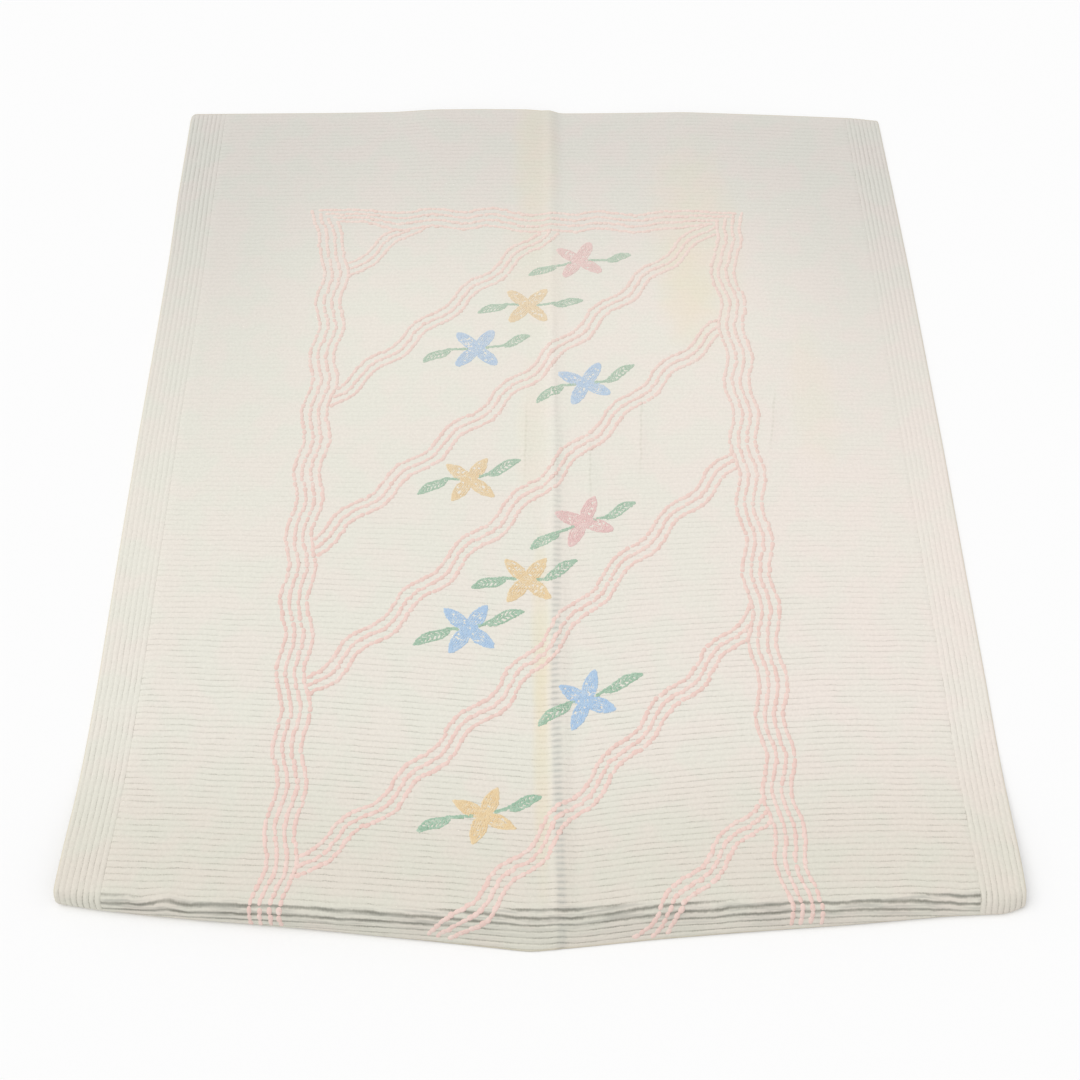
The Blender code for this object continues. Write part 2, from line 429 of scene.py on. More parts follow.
pile_lines = [pile_line(a, shape_rows(a), border_rib, border_pile, border_relief)
              for a in left_border]
pile_lines += [pile_line(a, field_rows(a), field_rib, field_pile, field_relief)
               for a in sorted(field)]
right_border = [-across for across in reversed(left_border)]
pile_lines += [pile_line(a, shape_rows(a), border_rib, border_pile, border_relief)
               for a in right_border]
pile_across = sorted(left_border + field + right_border)

# The underside keeps every second line, and the edge runs all round between the two
under_across = [-outer, *sorted(field)[3:-3:2], outer]
under_lines = []
for across in under_across:
    rows = [EDGE_TURN, *shape_rows(across)[1:], float(hem_at(across)) - EDGE_TURN]
    line = [(down, lay_point(across, down, 0.0)) for down in rows]
    line[-1] = (math.inf, line[-1][1])
    under_lines.append(line)

edge_lines = []
for across in (-HALF_WIDTH, HALF_WIDTH):
    rows = [0.0, *shape_rows(across)[1:], float(hem_at(across))]
    line = [(down, lay_point(across, down, CLOTH / 2)) for down in rows]
    line[-1] = (math.inf, line[-1][1])
    edge_lines.append(line)

faces = []


def stitch(one, other):
    """Joins two lines of keyed points with triangles, advancing the line that lags behind."""
    i = j = 0
    while i + 1 < len(one) or j + 1 < len(other):
        if j + 1 == len(other) or (i + 1 < len(one) and one[i + 1][0] <= other[j + 1][0]):
            faces.append((one[i][1], one[i + 1][1], other[j][1]))
            i += 1
        else:
            faces.append((one[i][1], other[j + 1][1], other[j][1]))
            j += 1


for one, other in zip(pile_lines, pile_lines[1:]):
    stitch(one, other)
for one, other in zip(under_lines, under_lines[1:]):
    stitch(other, one)
stitch(edge_lines[0], pile_lines[0])
stitch(under_lines[0], edge_lines[0])
stitch(pile_lines[-1], edge_lines[1])
stitch(edge_lines[1], under_lines[-1])
for end in (0, -1):
    upper = [(across, line[end][1]) for across, line in zip(pile_across, pile_lines)]
    lower = [(across, line[end][1]) for across, line in zip(under_across, under_lines)]
    between = [(-HALF_WIDTH, edge_lines[0][end][1])]
    for across in pile_across[1:-1]:
        down = 0.0 if end == 0 else float(hem_at(across))
        between.append((across, lay_point(across, down, CLOTH / 2)))
    between.append((HALF_WIDTH, edge_lines[1][end][1]))
    stitch(upper, between)
    stitch(between, lower)

cloth_out = outward(cloth_across, cloth_down)
points = underside(cloth_across, cloth_down) + cloth_out * np.array(cloth_thickness)[:, None]
cloth_mesh = bpy.data.meshes.new("coverlet_cloth")
cloth_mesh.from_pydata(points.tolist(), [], faces)
for name, values in cloth_values.items():
    cloth_mesh.attributes.new(name, "FLOAT", "POINT").data.foreach_set("value", values)
cloth_mesh.attributes.new("outward", "FLOAT_VECTOR", "POINT").data.foreach_set(
    "vector", cloth_out.ravel())
corner_points = np.zeros(len(cloth_mesh.loops), int)
cloth_mesh.loops.foreach_get("vertex_index", corner_points)
places = np.stack((cloth_across, cloth_down), axis=1)
cloth_mesh.uv_layers.new(name="cloth").data.foreach_set("uv", places[corner_points].ravel())

# Faces outwards all round
closed = bmesh.new()
closed.from_mesh(cloth_mesh)
bmesh.ops.recalc_face_normals(closed, faces=closed.faces)
closed.to_mesh(cloth_mesh)
closed.free()


def new_object(name, data):
    """Puts an object into the scene."""
    made = bpy.data.objects.new(name, data)
    bpy.context.scene.collection.objects.link(made)
    return made


cloth = new_object("coverlet_cloth", cloth_mesh)


class Value:
    """A value in a node tree. Plain arithmetic on it adds maths nodes to the tree."""

    def __init__(self, tree, socket):
        self.tree, self.socket = tree, socket

    def maths(self, operation, *others):
        links = dict(enumerate((self, *others)))
        return step(self.tree, "ShaderNodeMath", links, operation=operation)

    def __add__(self, other):
        return self.maths("ADD", other)

    def __sub__(self, other):
        return self.maths("SUBTRACT", other)

    def __rsub__(self, other):
        return self * -1.0 + other

    def __mul__(self, other):
        return self.maths("MULTIPLY", other)

    def __truediv__(self, other):
        return self.maths("DIVIDE", other)

    def __pow__(self, other):
        return self.maths("POWER", other)

    def __abs__(self):
        return self.maths("ABSOLUTE")

    __radd__, __rmul__ = __add__, __mul__


def add_node(tree, kind, links=None, **settings):
    """Adds a node. links gives its inputs, by name or number, a value of the tree or a constant."""
    node = tree.nodes.new(kind)
    for name, setting in settings.items():
        setattr(node, name, setting)
    for name, source in (links or {}).items():
        if isinstance(source, Value):
            tree.links.new(source.socket, node.inputs[name])
        else:
            node.inputs[name].default_value = source
    return node


def step(tree, kind, links=None, output=0, **settings):
    """Adds a node and returns one of its outputs."""
    return Value(tree, add_node(tree, kind, links, **settings).outputs[output])


def new_shape_tree(name, inputs):
    """Starts a Geometry Nodes tree with named number inputs. Returns the tree and its inputs."""
    tree = bpy.data.node_groups.new(name, "GeometryNodeTree")
    tree.interface.new_socket("Geometry", in_out="INPUT", socket_type="NodeSocketGeometry")
    for label, value in inputs.items():
        socket = tree.interface.new_socket(label, in_out="INPUT", socket_type="NodeSocketFloat")
        socket.default_value = value
    tree.interface.new_socket("Geometry", in_out="OUTPUT", socket_type="NodeSocketGeometry")
    sockets = add_node(tree, "NodeGroupInput").outputs
    return tree, {label: Value(tree, sockets[label]) for label in ("Geometry", *inputs)}


def named(tree, name, kind="FLOAT"):
    """Reads an attribute of the mesh in a Geometry Nodes tree."""
    return step(tree, "GeometryNodeInputNamedAttribute", {"Name": name}, data_type=kind)


def finish_shape_tree(tree, geometry, material):
    """Ends the tree: real mesh, smooth faces, its material."""
    real = step(tree, "GeometryNodeRealizeInstances", {"Geometry": geometry})
    smooth = step(tree, "GeometryNodeSetShadeSmooth", {"Geometry": real})
    coated = step(tree, "GeometryNodeSetMaterial", {"Geometry": smooth, "Material": material})
    add_node(tree, "NodeGroupOutput", {"Geometry": coated})


def shape_with(piece, tree, values):
    """Runs a Geometry Nodes tree on a piece and keeps the result as its plain mesh."""
    modifier = piece.modifiers.new("shape", "NODES")
    modifier.node_group = tree
    for item in tree.interface.items_tree:
        if item.in_out == "INPUT" and item.name in values:
            modifier[item.identifier] = values[item.name]
    shaped = piece.evaluated_get(bpy.context.evaluated_depsgraph_get())
    rough = piece.data
    made = bpy.data.meshes.new_from_object(shaped)
    piece.modifiers.clear()
    piece.data = made
    bpy.data.meshes.remove(rough)
    made.name = piece.name


def colour(red, green, blue):
    """A screen colour, 0 to 255, as the shaders take it."""
    light = [((c / 255 + 0.055) / 1.055) ** 2.4 if c > 10 else c / 3295 for c in (red, green, blue)]
    return (*light, 1.0)


def blend(tree, share, one, other, kind="MIX"):
    """Mixes two colours."""
    links = {0: share, 6: one, 7: other}
    return step(tree, "ShaderNodeMix", links, 2, data_type="RGBA", blend_type=kind)


def soft_step(value, low, high):
    """0 at low, 1 at high, and a smooth way between."""
    links = {"Value": value, "From Min": low, "From Max": high}
    return step(value.tree, "ShaderNodeMapRange", links, interpolation_type="SMOOTHSTEP")


def noise(place, scale, detail=2.0):
    """Even noise from 0 to 1 over a place in metres, with so many grains to the metre."""
    links = {"Vector": place, "Scale": scale, "Detail": detail}
    return step(place.tree, "ShaderNodeTexNoise", links)


def coat(tree, tone, height, depth, roughness, sheen, sheen_roughness):
    """Ends a cotton material: its colour, a bump with its depth in metres, a soft matt surface."""
    bump = step(tree, "ShaderNodeBump", {"Height": height, "Distance": depth, "Strength": 0.7})
    surface = tree.nodes["Principled BSDF"].inputs
    tree.links.new(tone.socket, surface["Base Color"])
    tree.links.new(bump.socket, surface["Normal"])
    surface["Roughness"].default_value = roughness
    surface["Specular IOR Level"].default_value = 0.15
    surface["Sheen Weight"].default_value = sheen
    surface["Sheen Roughness"].default_value = sheen_roughness


# Partly a painted tint of the light, greener on the left and pinker on the right
LEFT_CREAM, RIGHT_CREAM = colour(236, 232, 221), colour(239, 231, 222)
# Painted fall-off of the light, towards the far end and its sides
FAR_CREAM, MARGIN_CREAM = colour(214, 210, 204), colour(210, 208, 201)
# Painted shade over the near end, and the hem's own buff
NEAR_END_SHADE_CREAM, HEM_BUFF = colour(222, 217, 203), colour(214, 201, 168)
GREENISH_CAST, PINKISH_CAST = colour(226, 231, 218), colour(240, 226, 219)
# Painted shade in the grooves, and darker painted shadow in the grooves on the fold's front
GROOVE_SHADE_GREY, FOLD_GROOVE_SHADOW_GREY = colour(132, 129, 114), colour(112, 112, 104)
# Painted shade, patchy, on the fold's top
FOLD_TOP_SHADE_GREY = colour(160, 160, 152)
# Painted shade by the crease and along the fine wrinkles beside it
CREASE_SHADE_GREY, WRINKLE_SHADE_GREY = colour(172, 175, 170), colour(196, 194, 178)
STAIN_YELLOW, SPECK_BROWN = colour(238, 219, 165), colour(128, 92, 70)

STITCH_DOTS = 0.0062
WEAVE_PITCH = 0.0016
LOOPS_TO_THE_METRE = 230.0
PILE_BUMP = 0.0009

# Old yellowish stains and one brown speck: across, down, half width, half length, strength
STAINS = (
    (0.470, 0.560, 0.160, 0.480, 0.14),
    (0.430, 0.780, 0.090, 0.260, 0.12),
    # These two, left of the crease, are partly a yellowish stain and partly painted light on its
    # lit left flank
    (-0.004, 1.850, 0.030, 0.330, 0.22),
    (-0.004, 2.180, 0.027, 0.380, 0.22),
    (-0.010, 0.200, 0.080, 0.420, 0.15),
    (-0.020, 0.700, 0.120, 0.300, 0.08),
    (-0.020, 1.260, 0.055, 0.300, 0.08),
    (0.760, 1.150, 0.080, 0.300, 0.08),
)
SPECK = (-0.627, 1.680, 0.0035)


def pile_cotton():
    """Cream cotton pile in rows, stitched grooves, old stains, plain hem, painted light and shade.
    """
    material = bpy.data.materials.new("tufted_cotton_pile")
    material.use_nodes = True
    tree = material.node_tree
    place = step(tree, "ShaderNodeUVMap", uv_map="cloth")
    across, down = (step(tree, "ShaderNodeSeparateXYZ", {0: place}, axis) for axis in "XY")
    pile, edge, front, from_crease = (
        step(tree, "ShaderNodeAttribute", output="Fac", attribute_name=name)
        for name in ("pile", "edge", "front", "crease"))

    # Where the point lies between two grooves, and how far along its row
    width_in = HALF_WIDTH - abs(across)
    in_border = width_in.maths("LESS_THAN", HALF_WIDTH - SEAM)
    in_field = 1.0 - in_border
    front = front * (in_field * 0.7 + 0.3)
    sway = noise(place, 26.0) * 0.34 + noise(place, 90.0) * 0.26 - 0.30
    count = down / FIELD_RIB_PITCH * in_field + width_in / BORDER_RIB_PITCH * in_border
    valley = abs((count + sway).maths("FRACT") * 2.0 - 1.0)
    along = across * in_field + down * in_border

    # Painted groove shade, dotted by stitches, most near the fold, on its front and at the sides
    turn = along * (2 * math.pi / STITCH_DOTS) + noise(place, 70.0) * 9.0
    dots = turn.maths("SINE") * 0.5 + 0.5
    groove = soft_step(valley, 0.80 - front * 0.50, 0.99)
    groove = groove * (1.0 - (1.0 - dots) * (0.5 - front * 0.38))
    patchy = soft_step(noise(place, 17.0, 3.0), 0.30, 0.68)
    patchy = patchy + (1.0 - patchy) * front * 0.5
    shown = soft_step(down, 0.9, 2.5) * 0.75 + 0.12
    shown = shown + soft_step(down, 0.9, 0.2) * (in_border * 0.5 + 0.16) + front * 0.5
    groove = groove * patchy * shown * soft_step(pile, 0.0, 0.3)

    # Cream that turns pinkish to the right: partly its own tone, partly a painted tint of the light
    rightward = soft_step(across, -0.2, 0.9) + noise(place, 1.6, 3.0) * 1.2 - 0.6
    rightward = step(tree, "ShaderNodeClamp", {"Value": rightward})
    ground = blend(tree, rightward, LEFT_CREAM, RIGHT_CREAM)
    # Painted fall-off of the light: greyer towards the far end, and more so at the sides of the far
    # half
    ground = blend(tree, soft_step(down, 0.95, 0.0) * 0.9, ground, FAR_CREAM)
    margin = soft_step(abs(across), 0.45, 1.0) * soft_step(down, 1.7, 0.4)
    ground = blend(tree, margin * 0.56, ground, MARGIN_CREAM)
    # Painted shade over the near end, where the cloth rises to the fold
    ground = blend(tree, soft_step(down, 2.05, 2.55) * 0.8, ground, NEAR_END_SHADE_CREAM)
    tinted = soft_step(noise(place, 9.0, 3.0), 0.38, 0.62)
    ground = blend(tree, 0.22, ground, blend(tree, tinted, GREENISH_CAST, PINKISH_CAST))
    mottled = noise(place, 130.0, 3.0) * 0.16 + 0.92
    mottled = step(tree, "ShaderNodeCombineColor", {0: mottled, 1: mottled, 2: mottled})
    ground = blend(tree, 1.0, ground, mottled, "MULTIPLY")

    # Painted shade: grooves, fold's front, crease, fine wrinkles beside it, and the fold's top
    ground = blend(tree, groove * 0.52, ground, GROOVE_SHADE_GREY)
    ground = blend(tree, groove * front * 0.38, ground, FOLD_GROOVE_SHADOW_GREY)
    hatch = valley * 0.8 + 0.2
    # Painted shade in the dip right of the crease, hatched by the ribs
    crease_shade = soft_step(abs(from_crease), 0.016, 0.003) * soft_step(down, 0.9, 2.0)
    crease_shade = crease_shade * hatch * (1.0 - front * 0.8)
    ground = blend(tree, crease_shade * 0.52, ground, CREASE_SHADE_GREY)
    # Painted shade along the fine wrinkles beside the crease
    for start, start_down, end, end_down, _, _ in WRINKLES:
        line = step(tree, "ShaderNodeMapRange", {
            "Value": down, "From Min": start_down, "From Max": end_down,
            "To Min": start, "To Max": end})
        line = line + noise(place, 20.0) * 0.010 - 0.005
        from_middle = abs(down - (start_down + end_down) / 2)
        share = soft_step(abs(across - line), 0.0040, 0.0010)
        share = share * soft_step(from_middle, (end_down - start_down) / 2, 0.05)
        ground = blend(tree, share * hatch * 0.32, ground, WRINKLE_SHADE_GREY)
    # Patchy painted shade on the fold's top, drawn out across the width
    drawn_out = step(
        tree, "ShaderNodeVectorMath", {0: place, 1: (9.0, 150.0, 1.0)}, operation="MULTIPLY")
    fold_top_shade = soft_step(noise(drawn_out, 1.0, 3.0), 0.42, 0.66) * front * in_field
    ground = blend(tree, fold_top_shade * 0.45, ground, FOLD_TOP_SHADE_GREY)

    # Stains, speck and hem
    for spot, spot_down, reach, reach_down, strength in STAINS:
        one, other = (across - spot) / reach, (down - spot_down) / reach_down
        far_out = one * one + other * other + noise(place, 14.0) * 0.7
        ground = blend(tree, soft_step(far_out, 1.5, 0.2) * strength, ground, STAIN_YELLOW)
    one, other = across - SPECK[0], down - SPECK[1]
    speck = soft_step(one * one + other * other, SPECK[2] ** 2, 0.0)
    ground = blend(tree, speck * 0.75, ground, SPECK_BROWN)
    ground = blend(tree, soft_step(edge, HEM_WIDTH, 0.001) * 0.35, ground, HEM_BUFF)

    # Pile loops, and the plain weave of the hem and the underside
    loops = step(tree, "ShaderNodeTexVoronoi", {"Vector": place, "Scale": LOOPS_TO_THE_METRE})
    threads = 2 * math.pi / WEAVE_PITCH
    weave = (across * threads).maths("SINE") * (down * threads).maths("SINE") * 0.30
    piled = soft_step(pile, 0.0, 0.3)
    height = (noise(place, 520.0) * 0.5 - loops) * piled + weave * (1.0 - piled) - groove * 0.6
    coat(tree, ground, height, PILE_BUMP, roughness=0.95, sheen=0.12, sheen_roughness=0.6)
    return material


# Pile ribs, raised on the smooth cloth by Geometry Nodes: broad crowns with narrow valleys
RIBS = {"Rise": RIB_RISE, "Fullness": 6.0, "Unevenness": 0.14, "Seed": 3.0}
LUMPS_TO_THE_METRE = 38.0

tree, given = new_shape_tree("pile_ribs", RIBS)
valley = abs(named(tree, "rib").maths("FRACT") * 2.0 - 1.0)
crown = 1.0 - named(tree, "relief") * valley ** given["Fullness"]
lumps = step(tree, "ShaderNodeTexNoise", {
    "Vector": step(tree, "GeometryNodeInputPosition"), "W": given["Seed"],
    "Scale": LUMPS_TO_THE_METRE, "Detail": 2.0}, noise_dimensions="4D")
lumps = (lumps * 2.0 - 1.0) * given["Unevenness"] + 1.0
raised = crown * named(tree, "pile") * given["Rise"] * lumps
offset = step(tree, "ShaderNodeVectorMath", {
    0: named(tree, "outward", "FLOAT_VECTOR"), "Scale": raised}, operation="SCALE")
moved = step(tree, "GeometryNodeSetPosition", {"Geometry": given["Geometry"], "Offset": offset})
finish_shape_tree(tree, moved, pile_cotton())
shape_with(cloth, tree, RIBS)

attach(cloth, "root")
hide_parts("coverlet")


# -------------------------------------------------------------------------------------------------
# Pink wavy lines
#
# Short tufts of pink cotton yarn, worked through the cloth in wavy lines: four down each side of
# the field, a band of four across its far end, and groups of three on the diagonal between them.

LANE_GAP = 0.0228
FRAME_SWING = 0.0090
GROUP_SWING = 0.0100
LINES_END = 0.014
TUFT_SPACING = 0.0138
TUFT_SINK = 0.0010
LINE_CLEARANCE = 0.003
BAND_START = 0.48
BAND_INSET = 0.012
NUDGE = 0.001

TUFT_LUMPS_TO_THE_METRE = 260.0
YARN_BUMP = 0.0010
PINK = (colour(246, 222, 213), colour(237, 204, 194), colour(244, 231, 221))
WASHED_OUT = colour(236, 229, 219)

# Middle of the four left lines, and of the four right ones, down the length
LEFT_MIDDLE = table("down across", (
    (0.440, -0.650), (0.480, -0.652), (0.545, -0.626), (0.600, -0.609), (0.850, -0.608),
    (1.050, -0.612), (1.250, -0.620), (1.450, -0.624), (1.650, -0.630), (1.850, -0.624),
    (2.050, -0.616), (2.250, -0.605), (2.450, -0.603), (2.500, -0.606), (2.570, -0.618),
    (2.620, -0.612),
))
RIGHT_MIDDLE = table("down across", (
    (0.440, 0.584), (0.490, 0.584), (0.545, 0.575), (0.600, 0.549), (0.660, 0.548), (0.850, 0.558),
    (1.650, 0.561), (2.400, 0.561), (2.490, 0.571), (2.590, 0.583), (2.640, 0.586),
))

# Where the side lines swing furthest to the right, down the length
LEFT_CRESTS = (
    0.300, 0.500, 0.699, 0.897, 1.100, 1.297, 1.490, 1.690, 1.887, 2.087, 2.287, 2.500, 2.740)
RIGHT_CRESTS = (
    0.393, 0.595, 0.798, 1.001, 1.203, 1.406, 1.608, 1.811, 2.014, 2.215, 2.405, 2.600, 2.800)

# Middle of the far band: where it turns, across the width
BAND_TURNS = (
    (-0.680, 0.456), (-0.540, 0.456), (-0.420, 0.480), (-0.315, 0.464), (-0.225, 0.480),
    (-0.150, 0.464), (-0.030, 0.491), (0.060, 0.484), (0.105, 0.488), (0.180, 0.474),
    (0.290, 0.488), (0.400, 0.470), (0.480, 0.462), (0.680, 0.466),
)

# Diagonal groups: where the middle line would meet the far edge's line, a crest, and the wave. The
# drift is read along the diagonal, from the lower left to the upper right
GROUPS = (
    (0.115, -0.713, 0.1970, ((-0.900, -0.002), (-0.600, -0.002))),
    (0.530, -1.077, 0.1985, ((-1.100, -0.031), (-0.710, -0.027), (-0.510, -0.019),
                             (-0.300, -0.015))),
    (1.000, -1.452, 0.1970, ((-1.460, -0.023), (-1.170, -0.027), (-0.920, -0.033), (-0.670, -0.029),
                             (-0.480, -0.019), (-0.180, -0.013))),
    (1.398, -1.680, 0.1983, ((-1.740, -0.035), (-1.540, -0.031), (-1.250, -0.021), (-0.850, -0.017),
                             (-0.360, -0.013))),
    (1.880, -2.001, 0.1936, ((-2.060, -0.042), (-1.865, -0.041), (-1.670, -0.023), (-1.475, -0.019),
                             (-1.280, -0.001), (-0.790, -0.004))),
    (2.361, -1.816, 0.1905, ((-1.950, -0.035), (-1.760, -0.027), (-1.600, -0.006), (-1.380, -0.001),
                             (-1.100, -0.007))),
    (2.850, -1.592, 0.1830, ((-1.700, -0.011), (-1.400, -0.011))),
)

yarn_draws = np.random.default_rng(11)


def wave(place, crest, length):
    return np.cos(2 * math.pi * (place - crest) / length)


def side_line(down, lane, middles, crests):
    middle = np.interp(down, middles["down"], middles["across"])
    crest = np.interp(down, crests, range(len(crests)))
    return middle + lane * LANE_GAP + FRAME_SWING * wave(crest, 0.0, 1.0)


def left_line(down, lane):
    return side_line(down, lane, LEFT_MIDDLE, LEFT_CRESTS)


def right_line(down, lane):
    return side_line(down, lane, RIGHT_MIDDLE, RIGHT_CRESTS)


def band_line(across, lane):
    spots, depths = np.array(BAND_TURNS).T
    after = np.clip(np.searchsorted(spots, across), 1, len(spots) - 1)
    share = ease((across - spots[after - 1]) / (spots[after] - spots[after - 1]))
    gap = np.interp(across, (-0.52, -0.42, 0.42, 0.52), (0.68, 1.0, 1.0, 0.72)) * 1.05 * LANE_GAP
    return depths[after - 1] * (1 - share) + depths[after] * share + lane * gap


def spaced(path, spacing):
    """Places along a path at even spacing, each as across, down and its heading there."""
    steps = np.hypot(*np.diff(path, axis=0).T)
    length = np.concatenate(([0.0], np.cumsum(steps)))
    spots = np.arange(spacing / 2, length[-1], spacing)
    across, down = (np.interp(spots, length, values) for values in path.T)
    ahead, onward = (
        np.interp(spots + NUDGE, length, values) - np.interp(spots - NUDGE, length, values)
        for values in path.T)
    return np.stack((across, down, ahead, onward), axis=1)


def lengthwise(line, lane, top):
    """A tuft on every rib crown down one lengthwise line."""
    ribs = np.arange(math.floor(top / FIELD_RIB_PITCH), MOST_RIBS)
    down = (ribs + 0.5) * FIELD_RIB_PITCH
    down = down[down > top]
    across = line(down, lane)
    kept = down < hem_at(across) - LINES_END
    ahead = line(down + NUDGE, lane) - line(down - NUDGE, lane)
    return np.stack((across, down, ahead, np.full(len(down), 2 * NUDGE)), axis=1)[kept]


def inside_frame(spots):
    """Keeps the places between the side lines, below the band and above the near hem."""
    across, down = spots[:, 0], spots[:, 1]
    kept = across > left_line(down, 1.5) + LINE_CLEARANCE
    kept &= across < right_line(down, -1.5) - LINE_CLEARANCE
    kept &= down > band_line(across, 1.5) + LINE_CLEARANCE
    kept &= down < hem_at(across) - LINES_END
    return spots[kept]


side_rows, band_rows, group_rows = [], [], []
for lane in (-1.5, -0.5, 0.5, 1.5):
    for line in (left_line, right_line):
        # The outer lines start higher, where the band's upper lines meet them
        depth = lane if line is left_line else -lane
        top = float(band_line(line(BAND_START, lane), depth)) - 0.004
        side_rows.append(lengthwise(line, lane, top))
    ends = np.linspace(float(left_line(BAND_START, lane)) + BAND_INSET,
                       float(right_line(BAND_START, -lane)) - BAND_INSET, 400)
    band_rows.append(spaced(np.stack((ends, band_line(ends, lane)), axis=1), TUFT_SPACING))
for meeting, crest, length, drift in GROUPS:
    run = np.arange(-2.300, 0.100, 0.004)
    middle = np.interp(run, *zip(*drift))
    for lane in (-1, 0, 1):
        off = middle + lane * LANE_GAP + GROUP_SWING * wave(run, crest, length)
        path = np.stack((meeting / 2 + (run - off) / math.sqrt(2),
                         meeting / 2 - (run + off) / math.sqrt(2)), axis=1)
        group_rows.append(inside_frame(spaced(path, TUFT_SPACING)))


def sow(name, rows, stray):
    """Points for a set of tufts on the pile, each with the way it lies."""
    spots = np.concatenate(rows)
    across = spots[:, 0] + yarn_draws.normal(0.0, stray, len(spots))
    down = spots[:, 1] + yarn_draws.normal(0.0, stray, len(spots))
    heading = unit(spots[:, 2:4])
    ahead = underside(across + heading[:, 0] * 0.002, down + heading[:, 1] * 0.002)
    behind = underside(across - heading[:, 0] * 0.002, down - heading[:, 1] * 0.002)
    out = outward(across, down)
    points = underside(across, down) + out * (CLOTH + RIB_RISE - TUFT_SINK)
    mesh = bpy.data.meshes.new(name)
    mesh.from_pydata(points.tolist(), [], [])
    for label, values in (("along", unit(ahead - behind)), ("outward", out)):
        attribute = mesh.attributes.new(label, "FLOAT_VECTOR", "POINT")
        attribute.data.foreach_set("vector", values.ravel())
    return new_object(name, mesh)


def tuft_tree(name, material, segments, rings):
    """Sets a rounded tuft of yarn on every point, lying along the row, each a little different."""
    tree, given = new_shape_tree(name, {
        "Length": 0.014, "Width": 0.009, "Height": 0.005,
        "Unevenness": 0.12, "Roughness": 0.0006, "Seed": 1.0})
    turned = step(tree, "FunctionNodeAxesToRotation", {
        "Primary Axis": named(tree, "along", "FLOAT_VECTOR"),
        "Secondary Axis": named(tree, "outward", "FLOAT_VECTOR")},
        primary_axis="Z", secondary_axis="X")
    ball = step(tree, "GeometryNodeMeshUVSphere", {
        "Segments": segments, "Rings": rings, "Radius": 0.5})

    def drawn(least, most, number):
        seed = step(tree, "FunctionNodeFloatToInt", {0: given["Seed"] + number})
        return step(tree, "FunctionNodeRandomValue", {2: least, 3: most, "Seed": seed}, 1)

    low, high = 1.0 - given["Unevenness"], 1.0 + given["Unevenness"]
    size = step(tree, "ShaderNodeCombineXYZ", {
        0: given["Height"] * drawn(low, high, 0.0),
        1: given["Width"] * drawn(low, high, 10.0),
        2: given["Length"] * drawn(low, high, 20.0)})
    tufts = step(tree, "GeometryNodeInstanceOnPoints", {
        "Points": given["Geometry"], "Instance": ball, "Rotation": turned, "Scale": size})
    toned = step(tree, "GeometryNodeStoreNamedAttribute", {
        "Geometry": tufts, "Name": "tone", "Value": drawn(0.0, 1.0, 30.0)},
        data_type="FLOAT", domain="INSTANCE")
    real = step(tree, "GeometryNodeRealizeInstances", {"Geometry": toned})
    lumps = step(tree, "ShaderNodeTexNoise", {
        "Vector": step(tree, "GeometryNodeInputPosition"), "W": given["Seed"],
        "Scale": TUFT_LUMPS_TO_THE_METRE}, 1, noise_dimensions="4D")
    centred = step(
        tree, "ShaderNodeVectorMath", {0: lumps, 1: (0.5, 0.5, 0.5)}, operation="SUBTRACT")
    shift = step(tree, "ShaderNodeVectorMath", {
        0: centred, "Scale": given["Roughness"] * 2.0}, operation="SCALE")
    moved = step(tree, "GeometryNodeSetPosition", {"Geometry": real, "Offset": shift})
    finish_shape_tree(tree, moved, material)
    return tree


def tuft_yarn(name, pale, deep, worn):
    """Soft dyed cotton yarn: every tuft its own shade, with thread ends that catch the light."""
    material = bpy.data.materials.new(name)
    material.use_nodes = True
    tree = material.node_tree
    place = step(tree, "ShaderNodeTexCoord", output="Object")
    tone = step(tree, "ShaderNodeAttribute", output="Fac", attribute_name="tone")
    threads = noise(place, 520.0, 3.0)
    dyed = blend(tree, tone * 0.55 + threads * 0.45, pale, deep)
    faded = soft_step(noise(place, 60.0), 0.52, 0.72)
    dyed = blend(tree, faded * 0.5, dyed, worn)
    # Washed out more and more towards the far end
    length = step(tree, "ShaderNodeSeparateXYZ", {0: place}, "Y")
    dyed = blend(tree, soft_step(length, -1.0, 1.0) * 0.36, dyed, WASHED_OUT)
    fibres = threads + noise(place, 1300.0) * 0.5
    coat(tree, dyed, fibres, YARN_BUMP, roughness=0.92, sheen=0.15, sheen_roughness=0.5)
    return material


pink_yarn = tuft_yarn("faded_pink_yarn", *PINK)
line_tree = tuft_tree("line_tufts", pink_yarn, 8, 5)
for name, rows, seed in (
    ("pink_side_lines", side_rows, 1.0),
    ("pink_far_band", band_rows, 2.0),
    ("pink_diagonal_lines", group_rows, 3.0),
):
    lines = sow(name, rows, 0.0011)
    shape_with(lines, line_tree, {
        "Length": 0.0195, "Width": 0.0134, "Height": 0.0050,
        "Unevenness": 0.17, "Roughness": 0.0008, "Seed": seed})
    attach(lines, "root")


# -------------------------------------------------------------------------------------------------
# Flowers and leaves
#
# Ten four-petal flowers in two rows between the pink lines, each with two green leaves on stems.
# They are worked in small tufts of dyed yarn: rows round and along each petal, a close centre,
# and leaves with an edge, a midrib and short slanting rows.

PETAL_LENGTH = 0.079
PETAL_HALF_WIDTH = 0.0165
LEAF_HALF_WIDTH = 0.0120
STITCH = 0.0052

